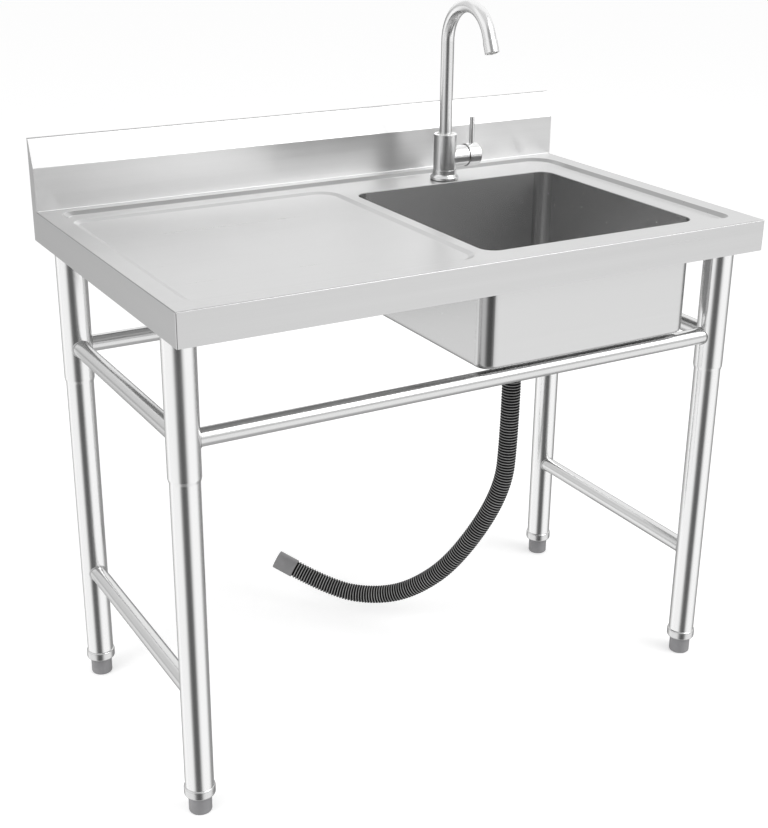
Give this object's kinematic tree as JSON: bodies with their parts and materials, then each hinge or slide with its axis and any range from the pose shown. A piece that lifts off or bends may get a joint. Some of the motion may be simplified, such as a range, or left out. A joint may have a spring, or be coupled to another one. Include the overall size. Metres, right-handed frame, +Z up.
{
  "type": "free-standing kitchen sink unit",
  "caption": "Free-standing stainless steel sink unit with a drainboard, backsplash, tube legs on screw feet, a swivel mixer faucet, a lift-out strainer and a ribbed drain hose.",
  "frame": {"origin": "on the floor, below the middle of the worktop", "axes": "+X along the unit towards the basin, +Y from the front to the backsplash, +Z up"},
  "size_m": [1, 0.6, 1.127],
  "materials": {
    "brushed_sheet": "satin",
    "basin_steel": "satin",
    "frame_steel": "satin",
    "leg_steel": "polished",
    "collar_steel": "polished",
    "foot_plastic": "matt",
    "screw_steel": "satin",
    "faucet_steel": "brushed",
    "brass": "machined",
    "white_plastic": "satin",
    "seal_rubber": "matt",
    "strainer_steel": "polished",
    "black_plastic": "satin",
    "hose_rubber": "satin",
    "cuff_plastic": "satin"
  },
  "bodies": {
    "sink_unit": {"backsplash": "brushed_sheet", "backsplash_caps": "brushed_sheet", "basin": "basin_steel", "cartridge_housing": "white_plastic", "cartridge_nut": "brass", "drain_body": "black_plastic", "drain_gasket": "seal_rubber", "drain_hose": "hose_rubber", "drain_screw": "screw_steel", "faucet_body": "faucet_steel", "faucet_flange": "faucet_steel", "faucet_gasket": "seal_rubber", "faucet_nut": "brass", "faucet_shank": "brass", "faucet_washer": "seal_rubber", "foot_insert_front_left": "collar_steel", "foot_insert_front_right": "collar_steel", "foot_insert_rear_left": "collar_steel", "foot_insert_rear_right": "collar_steel", "hose_end_cuff": "cuff_plastic", "hose_nut": "black_plastic", "hose_top_cuff": "hose_rubber", "leg_channel_left": "frame_steel", "leg_channel_right": "frame_steel", "leg_screws": "screw_steel", "leg_sockets": "frame_steel", "lower_leg_front_left": "leg_steel", "lower_leg_front_right": "leg_steel", "lower_leg_rear_left": "leg_steel", "lower_leg_rear_right": "leg_steel", "lower_rail_left": "leg_steel", "lower_rail_right": "leg_steel", "spout_bush": "white_plastic", "spout_orings": "seal_rubber", "stiffener_front": "frame_steel", "stiffener_rear": "frame_steel", "strainer_cup": "strainer_steel", "upper_leg_front_left": "leg_steel", "upper_leg_front_right": "leg_steel", "upper_leg_rear_left": "leg_steel", "upper_leg_rear_right": "leg_steel", "upper_rail_front": "leg_steel", "upper_rail_left": "leg_steel", "upper_rail_rear": "leg_steel", "upper_rail_right": "leg_steel", "worktop": "brushed_sheet"},
    "spout": {"spout": "faucet_steel", "aerator_housing": "faucet_steel", "aerator_insert": "white_plastic"},
    "mixer_carrier": {"cartridge_carrier": "white_plastic", "stem_pin": "screw_steel"},
    "handle": {"cartridge_stem": "brass", "handle_cap": "faucet_steel", "handle_lever": "faucet_steel", "handle_screw": "screw_steel"},
    "basket": {"strainer_basket": "strainer_steel"},
    "adjustable_foot_front_left": {"foot_front_left": "foot_plastic"},
    "adjustable_foot_front_right": {"foot_front_right": "foot_plastic"},
    "adjustable_foot_rear_left": {"foot_rear_left": "foot_plastic"},
    "adjustable_foot_rear_right": {"foot_rear_right": "foot_plastic"}
  },
  "joints": [
    {"name": "spout_swivel", "type": "hinge", "parent": "sink_unit", "child": "spout", "pos_m": [0.203, 0.183, 0.9], "axis": [0, 0, 1], "continuous": true},
    {"name": "lever_turn", "type": "hinge", "parent": "sink_unit", "child": "mixer_carrier", "pos_m": [0.233, 0.183, 0.8535], "axis": [1, 0, 0], "range_deg": [-45, 45]},
    {"name": "lever_lift", "type": "hinge", "parent": "mixer_carrier", "child": "handle", "pos_m": [0.233, 0.183, 0.8535], "axis": [0, 1, 0], "range_deg": [0, 20]},
    {"name": "basket_lift", "type": "slide", "parent": "sink_unit", "child": "basket", "axis": [0, 0, 1], "range_m": [0, 0.12]},
    {"name": "foot_front_left_adjust", "type": "slide", "parent": "sink_unit", "child": "adjustable_foot_front_left", "axis": [0, 0, -1], "range_m": [0, 0.02]},
    {"name": "foot_front_right_adjust", "type": "slide", "parent": "sink_unit", "child": "adjustable_foot_front_right", "axis": [0, 0, -1], "range_m": [0, 0.02]},
    {"name": "foot_rear_left_adjust", "type": "slide", "parent": "sink_unit", "child": "adjustable_foot_rear_left", "axis": [0, 0, -1], "range_m": [0, 0.02]},
    {"name": "foot_rear_right_adjust", "type": "slide", "parent": "sink_unit", "child": "adjustable_foot_rear_right", "axis": [0, 0, -1], "range_m": [0, 0.02]}
  ]
}
